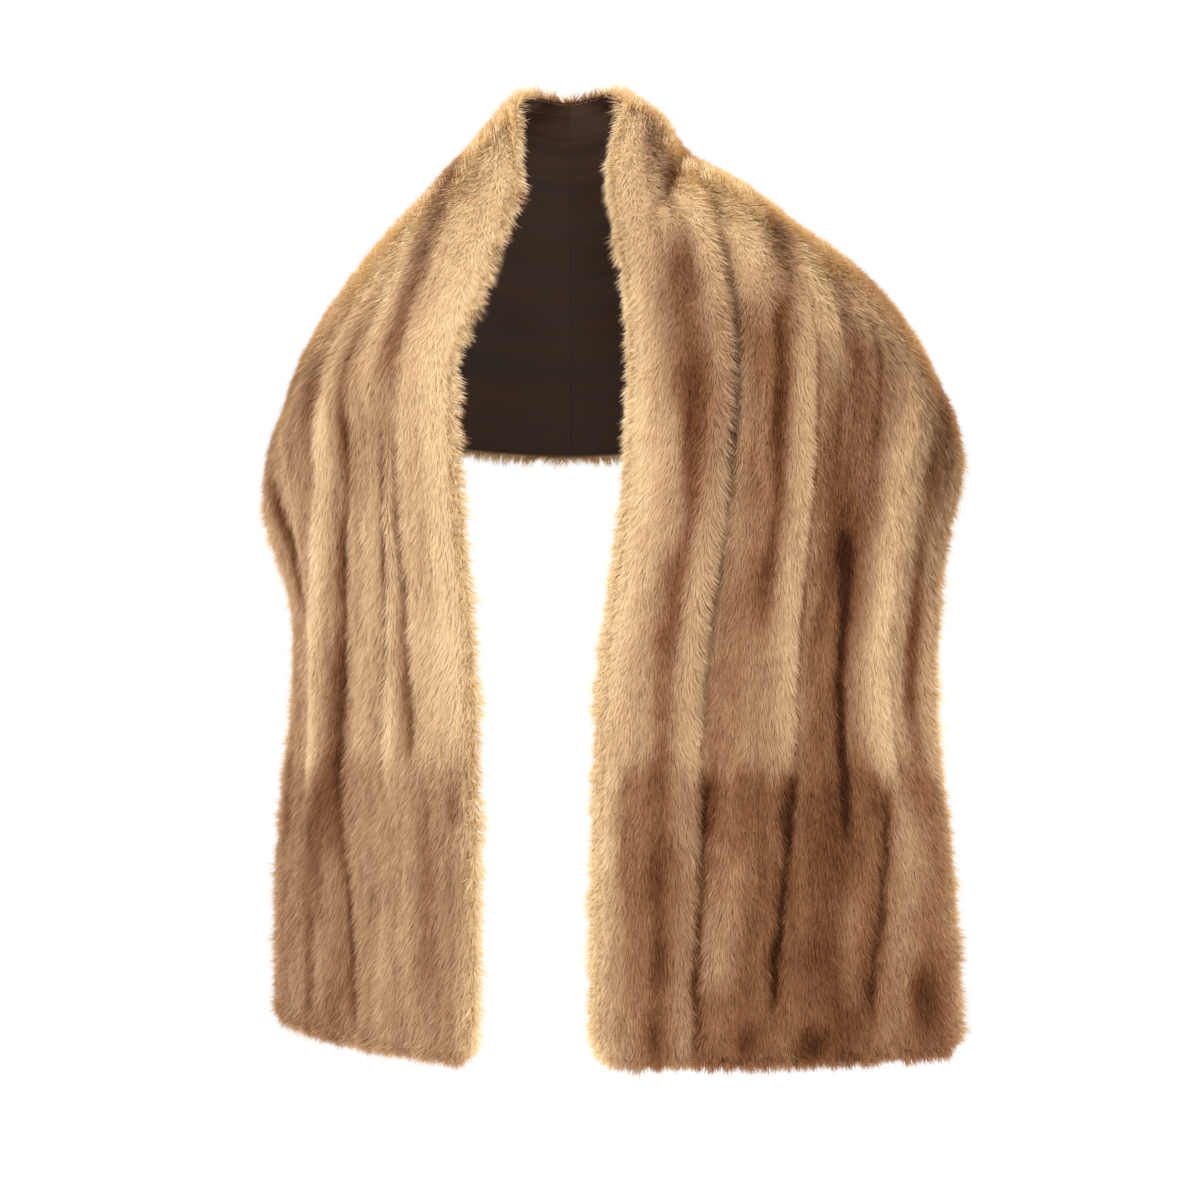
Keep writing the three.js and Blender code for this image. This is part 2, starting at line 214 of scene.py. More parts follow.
# Darker (above 0) and paler bands: the let-out skins' own stripes, as the worker sliced and joined them, and
# painted light and shade, paler along the free edges and on fold ridges, darker in fold valleys, creases and
# beside the lapped seams
STRIPES_AND_PAINTED_SHADING = bands(
    # Right front, from the opening outwards
    # Paler along the neck edge and the end's inner edge: painted light where the pile is seen from the side
    (120, 760, 0.03, 0.03, 0.07, -0.38),
    (780, 1070, 0.0, 0.0, 0.062, -0.7, 30),
    (290, 450, 0.18, 0.185, 0.05, 0.46, 50),
    (440, 690, 0.2, 0.185, 0.035, 0.36, 60),
    (700, 1070, 0.181, 0.172, 0.033, 0.27, 60),
    # Painted shade in the crease above the lapped fold's plump upper end
    (168, 245, 0.315, 0.18, 0.028, 0.42, 16),
    (138, 238, 0.172, 0.2, 0.042, 0.28, 22),
    (240, 740, 0.25, 0.236, 0.02, 0.02, 16),
    # Paler top of the lapped fold, painted light; then painted shade along the lapped seam and in a shallow
    # valley of the right end
    (236, 330, 0.25, 0.242, 0.03, -0.12, 20),
    (245, 760, 0.278, 0.264, 0.007, 0.45, 20),
    (780, 1040, 0.285, 0.275, 0.018, 0.32, 30),
    (340, 760, 0.335, 0.32, 0.05, 0.14, 60),
    (280, 390, 0.448, 0.385, 0.028, 0.36, 30),
    (262, 335, 0.455, 0.412, 0.022, 0.2, 20),
    (310, 400, 0.49, 0.505, 0.035, -0.2, 30),
    (370, 460, 0.612, 0.64, 0.008, 0.3, 20),
    (390, 620, 0.383, 0.41, 0.02, 0.34, 50),
    (360, 760, 0.435, 0.49, 0.028, -0.17, 50),
    (380, 770, 0.462, 0.522, 0.006, 0.3, 30),
    # Painted shade in a shallow valley of the right end
    (790, 1000, 0.515, 0.468, 0.018, 0.56, 30),
    (782, 845, 0.505, 0.498, 0.022, 0.2, 14),
    (782, 835, 0.296, 0.292, 0.024, 0.24, 14),
    (772, 815, 0.745, 0.75, 0.03, 0.2, 14),
    (770, 840, 0.19, 0.188, 0.03, -0.14, 20),
    (790, 920, 0.095, 0.09, 0.025, 0.08, 40),
    (430, 790, 0.55, 0.6, 0.08, 0.32, 60),
    (550, 820, 0.6, 0.663, 0.014, 0.52, 30),
    (520, 600, 0.6, 0.61, 0.03, 0.14, 40),
    (400, 770, 0.7, 0.78, 0.045, -0.32, 70),
    (540, 770, 0.755, 0.835, 0.008, 0.24, 40),
    # Painted shade in a shallow valley of the right end
    (790, 1010, 0.788, 0.725, 0.02, 0.36, 40),
    (460, 780, 0.84, 0.9, 0.026, 0.36, 60),
    # Paler along the outer edge: painted light where the pile is seen from the side
    (120, 1070, 1.0, 1.0, 0.035, -0.38),
    (335, 430, 0.54, 0.588, 0.03, 0.26, 30),
    (240, 330, 0.7, 0.68, 0.04, 0.15, 60),
    (400, 470, 0.86, 0.87, 0.05, 0.24, 50),
    # Paler on a plump ridge of the right end: painted light
    (855, 985, 0.372, 0.33, 0.036, -0.14, 20),
    (890, 1000, 0.663, 0.663, 0.035, -0.22, 30),
    (1025, 1056, 0.562, 0.562, 0.035, 0.3, 14),
    (1020, 1048, 0.4, 0.4, 0.035, 0.2, 14),
    (1010, 1045, 0.175, 0.175, 0.03, 0.18, 15),
    (800, 1060, 0.63, 0.61, 0.1, 0.2, 60),
    (800, 1020, 0.84, 0.83, 0.04, -0.14, 50),
    (965, 1035, 0.88, 0.89, 0.04, 0.36, 30),
    (190, 330, 0.4, 0.36, 0.07, -0.34, 50),
    (250, 380, 0.6, 0.66, 0.06, -0.16, 60),
    # Left front, from the opening outwards
    # Paler towards the neck edge and along the end's inner edge: painted light where the pile is seen from
    # the side
    (-770, -120, 0.06, 0.09, 0.13, -0.36),
    (-1070, -790, 0.0, 0.0, 0.055, -0.52, 30),
    (-420, -300, 0.232, 0.256, 0.04, 0.38, 35),
    (-300, -125, 0.256, 0.305, 0.045, 0.48, 35),
    (-400, -230, 0.335, 0.35, 0.03, -0.2, 50),
    (-410, -270, 0.52, 0.455, 0.03, -0.2, 40),
    # Painted shade in the valley by the lapped seam
    (-770, -430, 0.285, 0.262, 0.03, 0.44, 50),
    (-1000, -800, 0.21, 0.22, 0.045, 0.16, 50),
    (-835, -792, 0.085, 0.085, 0.035, 0.2, 15),
    (-870, -795, 0.64, 0.64, 0.05, 0.14, 25),
    (-1030, -960, 0.665, 0.665, 0.03, -0.16, 25),
    (-440, -330, 0.44, 0.385, 0.026, 0.28, 40),
    (-430, -330, 0.59, 0.56, 0.035, 0.26, 50),
    # Painted shade beside the lapped seam's ridge, then painted light on the ridge
    (-780, -440, 0.378, 0.286, 0.006, 0.38, 40),
    (-780, -440, 0.358, 0.27, 0.01, -0.26, 40),
    # Paler on the ridge before the outer skins: painted light
    (-600, -400, 0.662, 0.53, 0.03, -0.38, 30),
    (-800, -600, 0.72, 0.662, 0.03, -0.38, 30),
    # Painted shade in the valleys inside that ridge and on the end
    (-590, -430, 0.555, 0.43, 0.036, 0.58, 30),
    (-790, -590, 0.6, 0.555, 0.036, 0.58, 30),
    (-1035, -790, 0.53, 0.595, 0.026, 0.36, 40),
    (-760, -470, 0.465, 0.34, 0.03, -0.14, 40),
    (-570, -390, 0.79, 0.85, 0.03, 0.4, 40),
    # Paler along the outer edge: painted light where the pile is seen from the side
    (-1070, -120, 1.0, 1.0, 0.04, -0.26),
    (-1070, -800, 0.72, 0.7, 0.05, 0.18, 60),
    (-1040, -820, 0.4, 0.38, 0.03, -0.12, 60),
    (-320, -200, 0.42, 0.4, 0.06, -0.16, 50),
    # Back
    # Paler along both edges: painted light where the pile is seen from the side
    (-140, 120, 0.03, 0.03, 0.06, -0.22),
    (-140, 120, 1.0, 1.0, 0.04, -0.26),
    (-110, 130, 0.14, 0.15, 0.03, 0.26, 90),
    (-150, 90, 0.4, 0.38, 0.035, 0.3, 90),
    (-90, 160, 0.66, 0.68, 0.035, 0.28, 90),
    (-150, 130, 0.89, 0.88, 0.03, 0.24, 90),
)


def smooth(x: np.ndarray) -> np.ndarray:
    """Returns an ease from 0 to 1 as x goes from 0 to 1, flat outside."""
    x = np.clip(x, 0.0, 1.0)
    return x * x * (3.0 - 2.0 * x)


def unit(vectors: np.ndarray) -> np.ndarray:
    """Returns the vectors at length 1."""
    return vectors / np.maximum(np.linalg.norm(vectors, axis=-1, keepdims=True), TINY)


def streaks(table: tuple[Streak, ...], along: np.ndarray, share: np.ndarray) -> np.ndarray:
    """Adds up a table's streaks.

    Args:
        table: The streaks.
        along: Lengths from the centre back.
        share: Shares of the width from the neck edge.

    Returns:
        The sum of the streaks' amounts at each point.
    """
    total = np.zeros(np.broadcast(along, share).shape)
    for s in table:
        inside = np.minimum(along - s.start, s.end - along)
        run = np.clip((along - s.start) / (s.end - s.start), 0.0, 1.0)
        centre = s.share_from + (s.share_to - s.share_from) * run
        fade = smooth((inside + s.fade) / (2.0 * s.fade))
        total += s.amount * fade * np.exp(-(((share - centre) / s.wide) ** 2))
    return total


@dataclass(frozen=True)
class Clumps:
    """Seeded soft noise over the cut: locks of hair of a given length and width, in millimetres."""

    long: float
    wide: float
    seed: int

    def __call__(self, u: np.ndarray, v: np.ndarray) -> np.ndarray:
        """Works out the noise.

        Args:
            u: Lengths from the centre back.
            v: Widths from the neck edge.

        Returns:
            Values from about -1 to 1 at each point.
        """
        size = NOISE_CELLS
        lattice = np.random.default_rng(self.seed).uniform(-1.0, 1.0, (size, size))
        x = u / self.long
        y = v / self.wide
        i = np.floor(x).astype(int)
        j = np.floor(y).astype(int)
        fx = smooth(x - i)
        fy = smooth(y - j)

        def corner(di: int, dj: int) -> np.ndarray:
            """Returns the lattice's values at one corner of each cell."""
            return lattice[(i + di) % size, (j + dj) % size]

        near = corner(0, 0) * (1 - fx) + corner(1, 0) * fx
        far = corner(0, 1) * (1 - fx) + corner(1, 1) * fx
        return near * (1 - fy) + far * fy


class Drape:
    """The worn form of the cut: where each point of the flat stole lies, and which way it faces."""

    STEP_LONG = 2.0
    STEP_WIDE = 0.004

    def __init__(self, sections: tuple[Section, ...]) -> None:
        """Works out the slopes of the blend through the sections.

        Args:
            sections: The sections, in order of length.
        """
        self.lengths = np.array([s.along for s in sections], float)
        self.corners = np.array([(s.neck, s.roll, s.fall, s.edge) for s in sections], float)
        self.gaps = np.diff(self.lengths)
        rises = np.diff(self.corners, axis=0) / self.gaps[:, None, None]
        before = self.gaps[:-1, None, None]
        after = self.gaps[1:, None, None]
        inner = (rises[:-1] * after + rises[1:] * before) / (before + after)
        self.slopes = np.concatenate([rises[:1], inner, rises[-1:]])
        self.origin = self.form(np.array([0.0]), np.array([CUT.nape_share]))[0]

    def form(self, along: np.ndarray, share: np.ndarray) -> np.ndarray:
        """Blends the sections into the smooth form, without its folds.

        Args:
            along: Lengths from the centre back.
            share: Shares of the width from the neck edge.

        Returns:
            The points, in the cut's frame and millimetres.
        """
        k = np.clip(np.searchsorted(self.lengths, along, side="right") - 1, 0, len(self.gaps) - 1)
        step = self.gaps[k][..., None, None]
        t = ((along - self.lengths[k]) / self.gaps[k])[..., None, None]
        corner = (
            (2 * t**3 - 3 * t**2 + 1) * self.corners[k]
            + (t**3 - 2 * t**2 + t) * step * self.slopes[k]
            + (3 * t**2 - 2 * t**3) * self.corners[k + 1]
            + (t**3 - t**2) * step * self.slopes[k + 1]
        )
        rest = 1.0 - share
        weights = np.stack([rest**3, 3 * rest**2 * share, 3 * rest * share**2, share**3], axis=-1)
        return (corner * weights[..., None]).sum(axis=-2)

    def axes(self, along: np.ndarray, share: np.ndarray) -> tuple[np.ndarray, np.ndarray, np.ndarray]:
        """Finds how the smooth form runs.

        Args:
            along: Lengths from the centre back.
            share: Shares of the width from the neck edge.

        Returns:
            The steps per millimetre of length and of width, and the unit direction outwards.
        """
        length = self.form(along + self.STEP_LONG, share) - self.form(along - self.STEP_LONG, share)
        across = self.form(along, share + self.STEP_WIDE) - self.form(along, share - self.STEP_WIDE)
        length = length / (2 * self.STEP_LONG)
        across = across / (2 * self.STEP_WIDE * CUT.width)
        return length, across, unit(np.cross(length, across))

    def lining(self, u: np.ndarray, v: np.ndarray, off: np.ndarray) -> np.ndarray:
        """Finds points of the lining.

        Args:
            u: Lengths from the centre back.
            v: Widths from the neck edge.
            off: Millimetres out from the lining's inner face, as it would lie without puckers.

        Returns:
            The points in the model's frame, in metres.
        """
        share = v / CUT.width
        out = self.axes(u, share)[2]
        rise = streaks(LINING_FOLDS, u, share) + off
        return (self.form(u, share) + out * rise[..., None] - self.origin) * MM


DRAPE = Drape(SECTIONS)


class Tone:
    """How dark the mink is at each point of the cut, from 0, pale gold, to 1, dark brown, with painted light
    and shade added in places.
    """

    ROW = 0.35
    ROW_TONES = {Side.LEFT: (-0.06, -0.02, 0.0, 0.0), Side.RIGHT: (-0.03, 0.08, 0.1, 0.0)}
    SIDES_BLEND = 120.0
    GROTZEN = 0.05
    # The step to the darker ends: its rise by row, how soft it is, where it starts and how it wanders
    END_RISE = {Side.LEFT: (0.16, 0.14, 0.16, 0.16), Side.RIGHT: (0.22, 0.24, 0.17, 0.23)}
    SEAM_BLUR = 42.0
    SEAM_START = 0.9
    SEAM_WANDER = 18.0
    SEAM_TEETH = 8.0
    # How the stripes wander, as shares of the width, and how their strength varies
    BEND_WANDER = 0.009
    BEND_TEETH = 0.005
    FORCE_PLAY = 0.35
    # The hem is paler; fur that faces up by more than a share gets painted light, paler on top as if lit from
    # above
    HEM_PALE = 0.16
    HEM_EDGE = 8.0
    TOP_LIGHT = 0.3
    TOP_LIGHT_FROM = 0.3
    TOP_LIGHT_OVER = 0.4
    # Round the neck the skin is painted darker where it rolls in: painted shade in the turn
    TURN_SHADE = 0.6
    TURN_FROM = 0.45
    TURN_OVER = 0.3
    DARK_REACH = 540.0
    DARK_FADE = 90.0
    # Noise of three sizes
    BROAD_PLAY = 0.07
    LOCK_PLAY = 0.05
    FINE_PLAY = 0.03
    BROAD = Clumps(150.0, 30.0, 11)
    LOCKS = Clumps(34.0, 9.0, 12)
    FINE = Clumps(11.0, 3.5, 13)
    JOIN = Clumps(80.0, 26.0, 14)
    BEND = Clumps(85.0, 120.0, 15)
    FORCE = Clumps(60.0, 40.0, 16)

    def __call__(self, u: np.ndarray, v: np.ndarray) -> np.ndarray:
        """Works out the tone, also past the edges, where the skins roll over.

        Args:
            u: Lengths from the centre back.
            v: Widths from the neck edge.

        Returns:
            The tone at each point.
        """
        rolled = (RIM.inset - v) / RIM.reach
        v = np.clip(v, 0.0, CUT.width)
        share = v / CUT.width
        breaks = np.array(CUT.row_breaks)
        row = np.clip(np.searchsorted(breaks, share, side="right") - 1, 0, len(breaks) - 2)
        middle = (share - breaks[row]) / (breaks[row + 1] - breaks[row])
        on_left = smooth(0.5 - u / self.SIDES_BLEND)

        def by_row(table: dict[Side, tuple[float, ...]]) -> np.ndarray:
            """Returns each point's value in a table of rows, blended over the centre back."""
            left, right = (np.array(table[side])[row] for side in Side)
            return on_left * left + (1 - on_left) * right

        locks = self.LOCKS(u, v)
        to_end = np.abs(u) - (CUT.half_length - CUT.end_depth)
        to_end += self.SEAM_WANDER * self.JOIN(u, v) + self.SEAM_TEETH * locks
        in_end = smooth(to_end / self.SEAM_BLUR + self.SEAM_START)
        tone = self.ROW + by_row(self.ROW_TONES) + by_row(self.END_RISE) * in_end
        tone += self.GROTZEN * np.cos(2 * np.pi * (middle - 0.5))
        bent = share + self.BEND_WANDER * self.BEND(u, v) + self.BEND_TEETH * locks
        # The skins' stripes, with the painted light and shade of the folds and free edges
        tone += streaks(STRIPES_AND_PAINTED_SHADING, u, bent) * (1.0 + self.FORCE_PLAY * self.FORCE(u, v))
        tone -= self.HEM_PALE * np.exp(-(((CUT.half_length - np.abs(u)) / self.HEM_EDGE) ** 2))
        # Painted light: fur that faces up is made paler, as if lit from above
        faces_up = DRAPE.axes(u, share)[2][:, 2]
        tone -= self.TOP_LIGHT * smooth((faces_up - self.TOP_LIGHT_FROM) / self.TOP_LIGHT_OVER)
        # Painted shade where the skin rolls in round the neck
        by_neck = smooth((self.DARK_REACH - np.abs(u)) / self.DARK_FADE)
        tone += self.TURN_SHADE * smooth((rolled - self.TURN_FROM) / self.TURN_OVER) * by_neck
        tone += self.BROAD_PLAY * self.BROAD(u, v) + self.LOCK_PLAY * locks
        return tone + self.FINE_PLAY * self.FINE(u, v)


TONE = Tone()


class Shader:
    """A material under construction: adds nodes and links them."""

    def __init__(self, name: str) -> None:
        """Starts a material with one surface shader.

        Args:
            name: The material's name.
        """
        self.material = bpy.data.materials.new(name)
        self.material.use_nodes = True
        self.tree = self.material.node_tree
        self.surface = self.tree.nodes["Principled BSDF"]

    def add(self, kind: str, **settings: object) -> bpy.types.Node:
        """Adds a node and sets its properties.

        Args:
            kind: The node's type, without its ShaderNode prefix.
            settings: Properties by name.

        Returns:
            The new node.
        """
        node = self.tree.nodes.new("ShaderNode" + kind)
        for key, value in settings.items():
            setattr(node, key, value)
        return node

    def feed(self, node: bpy.types.Node, inputs: dict[str | int, object]) -> None:
        """Links outputs to a node's inputs, or sets the inputs' values.

        Args:
            node: The node.
            inputs: An output or a value for each input, by the input's name or number.
        """
        for key, value in inputs.items():
            if isinstance(value, bpy.types.NodeSocket):
                self.tree.links.new(value, node.inputs[key])
            else:
                node.inputs[key].default_value = value

    def attribute(self, name: str) -> bpy.types.NodeSocket:
        """Returns the value of a named attribute of the mesh."""
        return self.add("Attribute", attribute_name=name).outputs["Fac"]

    def span(self, value: object, source: Range, result: Range) -> bpy.types.NodeSocket:
        """Moves a value from one range to another.

        Args:
            value: The output to move.
            source: Its range, from and to.
            result: The range to move it to, from and to.

        Returns:
            The moved value, which stays inside its new range.
        """
        node = self.add("MapRange")
        bounds = zip(("From Min", "From Max", "To Min", "To Max"), (*source, *result))
        self.feed(node, {"Value": value, **dict(bounds)})
        return node.outputs["Result"]

    def ramp(self, value: object, stops: tuple[tuple[float, Colour], ...]) -> bpy.types.NodeSocket:
        """Looks up a colour on a ramp.

        Args:
            value: The place on the ramp, from 0 to 1.
            stops: Places and their colours, in linear light.

        Returns:
            The colour.
        """
        node = self.add("ValToRGB")
        elements = node.color_ramp.elements
        while len(elements) < len(stops):
            elements.new(0.5)
        for element, (place, colour) in zip(elements, stops):
            element.position = place
            element.color = (*colour, 1.0)
        self.feed(node, {"Fac": value})
        return node.outputs["Color"]

    def blend(self, share: object, a: object, b: object) -> bpy.types.NodeSocket:
        """Mixes two colours.

        Args:
            share: How much of the second colour there is, from 0 to 1.
            a: The first colour.
            b: The second colour.

        Returns:
            The mixed colour.
        """
        node = self.add("Mix", data_type="RGBA", blend_type="MIX")
        self.feed(node, {0: share, 6: a, 7: b})
        return node.outputs[2]

    def scaled(self, colour: object, by: object) -> bpy.types.NodeSocket:
        """Makes a colour darker or paler.

        Args:
            colour: The colour.
            by: The factor.

        Returns:
            The new colour.
        """
        node = self.add("VectorMath", operation="SCALE")
        self.feed(node, {0: colour, "Scale": by})
        return node.outputs[0]

    def noise(self, where: object, scale: float, detail: float) -> bpy.types.NodeSocket:
        """Adds soft noise.

        Args:
            where: The place in metres.
            scale: How many cells a metre holds.
            detail: How many octaves there are.

        Returns:
            The noise, mostly inside NOISE_RANGE.
        """
        node = self.add("TexNoise")
        self.feed(node, {"Vector": where, "Scale": scale, "Detail": detail})
        return node.outputs["Fac"]

    def bump(self, height: object, depth: float, strength: float) -> None:
        """Gives the surface relief.

        Args:
            height: The relief's height, from 0 to 1.
            depth: What a height of 1 is in metres.
            strength: How strong the relief is, from 0 to 1.
        """
        node = self.add("Bump")
        self.feed(node, {"Height": height, "Distance": depth, "Strength": strength})
        self.feed(self.surface, {"Normal": node.outputs["Normal"]})


def linear(*srgb: float) -> tuple[float, ...]:
    """Returns a colour of 0 to 255 as seen on a screen in linear light."""
    return tuple(((c / 255 + 0.055) / 1.055) ** 2.4 if c > 10.3 else c / 255 / 12.92 for c in srgb)


@dataclass(frozen=True)
class MinkFinish:
    """Mink from pale gold to dark brown: the guard hairs, and the underfur on the skin."""

    tones: tuple[tuple[float, Colour], ...] = (
        (0.0, (248, 223, 180)),
        (0.2, (233, 201, 157)),
        (0.42, (206, 168, 129)),
        (0.62, (170, 121, 82)),
        (0.82, (127, 77, 43)),
        (1.0, (74, 37, 14)),
    )
    hair_shades: Range = (0.94, 1.05)
    shaded_to: float = 0.75
    hair_rough: Range = (0.75, 0.5)
    specular: float = 0.16
    sheen: float = 0.04
    sheen_rough: float = 0.45
    sheen_tint: tuple[float, float, float, float] = (1.0, 0.9, 0.75, 1.0)
    wool_cells: float = 900.0
    wool_detail: float = 4.0
    wool_shades: Range = (0.82, 0.98)
    wool_rough: Range = (0.8, 0.95)
    wool_depth: float = 0.0008
    wool_strength: float = 0.8

    def colours(self) -> tuple[tuple[float, Colour], ...]:
        """Returns the ramp's stops in linear light."""
        return tuple((place, linear(*colour)) for place, colour in self.tones)

    def hair(self) -> bpy.types.Material:
        """Dresses the guard hairs, by their attributes tone and tip.

        Returns:
            The hairs' material.
        """
        s = Shader("mink_guard_hair")
        tip = s.attribute("tip")
        colour = s.ramp(s.attribute("tone"), self.colours())
        shade = s.span(tip, (0.0, self.shaded_to), self.hair_shades)
        finish = {
            "Base Color": s.scaled(colour, shade),
            "Roughness": s.span(tip, (0.0, 1.0), self.hair_rough),
            "Specular IOR Level": self.specular,
            "Sheen Weight": self.sheen,
            "Sheen Roughness": self.sheen_rough,
            "Sheen Tint": self.sheen_tint,
        }
        s.feed(s.surface, finish)
        return s.material

    def underfur(self) -> bpy.types.Material:
        """Dresses the dense short wool on the skin, by its attribute tone.

        Returns:
            The wool's material.
        """
        s = Shader("mink_underfur")
        wool = s.noise(s.add("TexCoord").outputs["Object"], self.wool_cells, self.wool_detail)
        colour = s.ramp(s.attribute("tone"), self.colours())
        colour = s.scaled(colour, s.span(wool, NOISE_RANGE, self.wool_shades))
        s.feed(s.surface, {"Base Color": colour, "Roughness": s.span(wool, NOISE_RANGE, self.wool_rough)})
        s.bump(wool, self.wool_depth, self.wool_strength)
        return s.material


@dataclass(frozen=True)
class SatinFinish:
    """Dark brown lining satin, with a soft gloss and faint ripples lengthwise, painted lighter and darker
    along the ripples as painted highlight and shade.
    """

    # A shaded and a lit copy of the brown, mixed by the ripples: painted shade and painted highlight
    deep: Colour = (36, 20, 13)
    lit: Colour = (62, 35, 23)
    seam: float = 1.0
    seam_dark: float = 0.75
    ripple: float = 60.0
    ripple_detail: float = 2.0
    ripple_stretch: float = 0.12
    ripple_depth: float = 0.002
    ripple_strength: float = 0.5
    rough: Range = (0.3, 0.38)
    specular: float = 0.32
    specular_tint: tuple[float, float, float, float] = (1.0, 0.78, 0.62, 1.0)

    def material(self) -> bpy.types.Material:
        """Dresses the lining, on the cloth's own map, whose unit is a metre.

        Returns:
            The satin.
        """
        s = Shader("lining_satin")
        cloth = s.add("UVMap", uv_map="cloth").outputs["UV"]
        parts = s.add("SeparateXYZ")
        s.feed(parts, {0: cloth})
        stretched = s.add("VectorMath", operation="MULTIPLY")
        s.feed(stretched, {0: cloth, 1: (self.ripple_stretch, 1.0, 1.0)})
        ripple = s.noise(stretched.outputs[0], self.ripple, self.ripple_detail)
        share = s.span(ripple, NOISE_RANGE, (0.0, 1.0))
        # Painted shade and highlight along the ripples
        satin = s.blend(share, (*linear(*self.deep), 1.0), (*linear(*self.lit), 1.0))
        from_seam = s.add("Math", operation="ABSOLUTE")
        s.feed(from_seam, {0: parts.outputs["X"]})
        in_seam = s.span(from_seam.outputs[0], (0.0, self.seam * MM), (self.seam_dark, 0.0))
        finish = {
            "Base Color": s.blend(in_seam, satin, (0.0, 0.0, 0.0, 1.0)),
            "Roughness": s.span(ripple, NOISE_RANGE, self.rough),
            "Specular IOR Level": self.specular,
            "Specular Tint": self.specular_tint,
        }
        s.feed(s.surface, finish)
        s.bump(ripple, self.ripple_depth, self.ripple_strength)
        return s.material


def link(name: str, mesh: bpy.types.Mesh, *materials: bpy.types.Material) -> bpy.types.Object:
    """Adds an object to the scene, at the origin.

    Args:
        name: The object's name.
        mesh: Its mesh.
        materials: The materials that it wears.

    Returns:
        The object.
    """
    piece = bpy.data.objects.new(name, mesh)
    bpy.context.scene.collection.objects.link(piece)
    for material in materials:
        mesh.materials.append(material)
    return piece


def steps(low: float, high: float, cell: float) -> int:
    """Returns how many cells of about a size fill a range."""
    return max(1, round((high - low) / cell))


def grid(u: Range, v: Range, cells: tuple[int, int]) -> bmesh.types.BMesh:
    """Makes a flat grid over a part of the cut.

    Args:
        u: Lengths from the centre back, from and to.
        v: Widths from the neck edge, from and to.
        cells: How many cells along and across.

    Returns:
        The grid with a cloth map, its x and y being u and v in millimetres.
    """
    bm = bmesh.new()
    bm.loops.layers.uv.new("cloth")
    bmesh.ops.create_grid(bm, x_segments=cells[0], y_segments=cells[1], size=0.5, calc_uvs=True)
    bmesh.ops.translate(bm, verts=bm.verts, vec=(0.5, 0.5, 0.0))
    bmesh.ops.scale(bm, verts=bm.verts, vec=(u[1] - u[0], v[1] - v[0], 1.0))
    bmesh.ops.translate(bm, verts=bm.verts, vec=(u[0], v[0], 0.0))
    return bm


def coordinates(mesh: bpy.types.Mesh) -> np.ndarray:
    """Reads a mesh's points.

    Args:
        mesh: The mesh.

    Returns:
        A row of x, y and z for each point.
    """
    found = np.empty(len(mesh.vertices) * 3)
    mesh.vertices.foreach_get("co", found)
    return found.reshape(-1, 3)


def laid(bm: bmesh.types.BMesh, name: str, where: Placing) -> bpy.types.Mesh:
    """Turns a grid over the cut into a mesh whose points are moved by a function.

    Args:
        bm: The grid, which is freed.
        name: The new mesh's name.
        where: Gives a point in metres for each u and v.

    Returns:
        The mesh.
    """
    mesh = bpy.data.meshes.new(name)
    bm.to_mesh(mesh)
    bm.free()
    flat = coordinates(mesh)
    mesh.vertices.foreach_set("co", where(flat[:, 0], flat[:, 1]).ravel())
    mesh.update()
    return mesh


def thicken(mesh: bpy.types.Mesh, thick: float) -> None:
    """Gives a sheet a thickness, turns its faces out and marks its sharp edges.

    Args:
        mesh: The sheet.
        thick: Its thickness in metres, towards the body if it is above 0.
    """
    bm = bmesh.new()
    bm.from_mesh(mesh)
    bmesh.ops.solidify(bm, geom=bm.verts[:] + bm.edges[:] + bm.faces[:], thickness=thick)
    bmesh.ops.recalc_face_normals(bm, faces=bm.faces)
    for face in bm.faces:
        face.smooth = True
    for edge in bm.edges:
        edge.smooth = edge.calc_face_angle(0.0) < SHARP
    bm.to_mesh(mesh)
    bm.free()


def note(mesh: bpy.types.Mesh, name: str, kind: str, values: np.ndarray) -> None:
    """Stores an array as a named attribute of the mesh's points."""
    found = mesh.attributes.new(name, kind, "POINT")
    found.data.foreach_set("vector" if kind == "FLOAT_VECTOR" else "value", values.astype(np.float32).ravel())


@dataclass(frozen=True)
class Rim:
    """How the skins end at the stole's free edges."""

    inset: float = 9.5
    radius: float = 3.0
    turn: float = 1.75
    corner: float = 30.0
    flap: float = 24.0

    @property
    def reach(self) -> float:
        """The length of skin that rolls over the edge."""
        return self.radius * self.turn


RIM = Rim()


def past_edges(u: np.ndarray, v: np.ndarray) -> tuple[np.ndarray, np.ndarray]:
    """Measures how far points lie past the lines where the skins roll over.

    Args:
        u: Lengths from the centre back.
        v: Widths from the neck edge.

    Returns:
        The lengths past the lines, along and across, or 0 inside them.
    """
    past_u = np.sign(u) * np.maximum(np.abs(u) - (CUT.half_length - RIM.inset), 0.0)
    past_v = np.minimum(v - RIM.inset, 0.0) + np.maximum(v - (CUT.width - RIM.inset), 0.0)
    return past_u, past_v


def rounded(u: np.ndarray, v: np.ndarray) -> tuple[np.ndarray, np.ndarray, np.ndarray]:
    """Pulls the points near the four outer corners of the cut in to a round corner.

    Args:
        u: Lengths from the centre back.
        v: Widths from the neck edge.

    Returns:
        The new u and v, and each point's way out of its corner, along and across, or 0 away from the corners.
    """
    in_u = CUT.half_length - RIM.inset - RIM.corner
    in_v = RIM.inset + RIM.corner
    x = np.maximum(np.abs(u) - in_u, 0.0)
    y = np.maximum(v - (CUT.width - in_v), 0.0) + np.minimum(v - in_v, 0.0)
    far = np.maximum(np.hypot(x, y), TINY)
    cornered = (x > 0) & (np.abs(y) > 0)
    pull = np.where(cornered, np.maximum(x, np.abs(y)) / far, 1.0)
    sign = np.sign(u)
    u_new = np.where(cornered, sign * (in_u + x * pull), u)
    v_new = np.where(cornered, v - y + y * pull, v)
    return u_new, v_new, cornered * np.stack([sign * x, y]) / far


